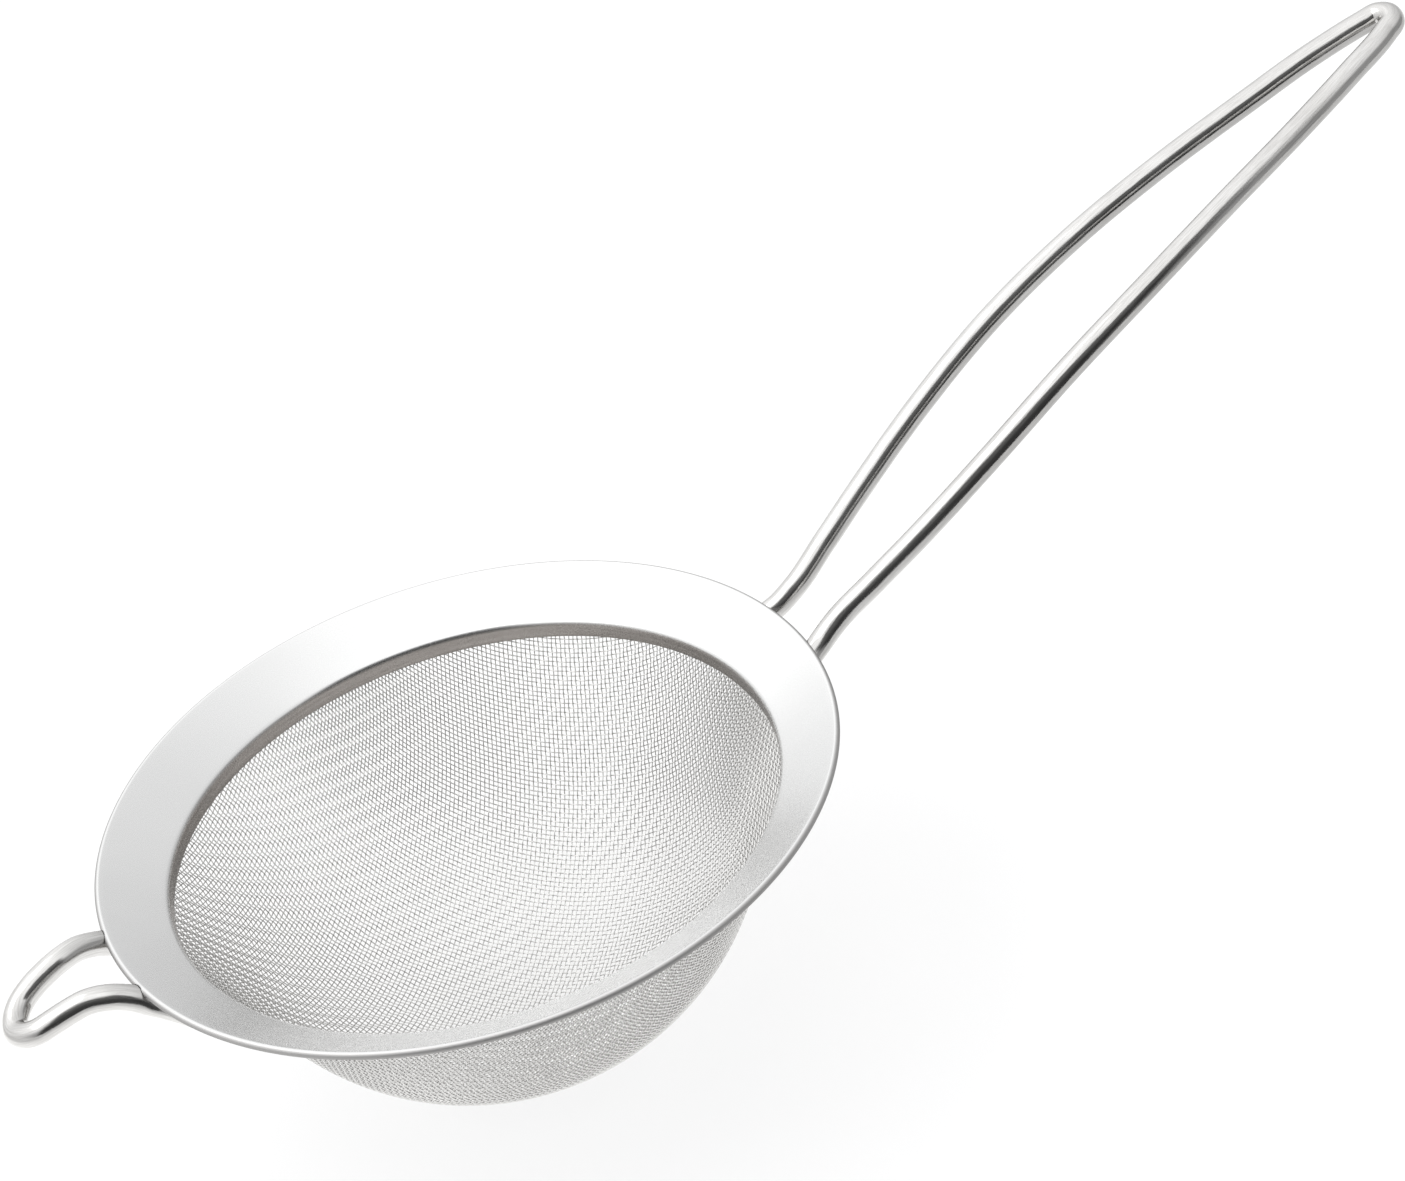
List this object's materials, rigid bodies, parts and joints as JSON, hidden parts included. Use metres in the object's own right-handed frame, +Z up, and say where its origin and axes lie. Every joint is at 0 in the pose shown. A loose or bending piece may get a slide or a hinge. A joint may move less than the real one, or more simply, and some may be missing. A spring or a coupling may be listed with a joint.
{
  "type": "tea strainer",
  "caption": "Round fine-mesh tea strainer: a dished steel rim over a deep wire-cloth bowl, a long rising wire loop handle, and a short wire hook opposite it that rests on the cup.",
  "frame": {"origin": "on the bowl's axis, level with the middle of the rim's rolled bead, which is where a cup's mouth meets the strainer", "axes": "+Z up along the bowl's axis, +X from the bowl to the far end of the handle, the part symmetric about Y = 0"},
  "size_m": [0.1806, 0.08, 0.0719],
  "materials": {
    "polished_sheet": "smooth, lightly polished",
    "satin_hoop": "dull satin with a slightly warm tone",
    "wire_cloth": "drawn bright wire",
    "polished_wire": "polished with fine lengthwise draw lines",
    "weld": "dull spot weld"
  },
  "bodies": {
    "root": {"rim": "polished_sheet", "retaining_hoop": "satin_hoop", "mesh_bowl": "wire_cloth", "handle": "polished_wire", "rest_hook": "polished_wire", "handle_welds": "weld", "hook_welds": "weld"}
  },
  "joints": []
}
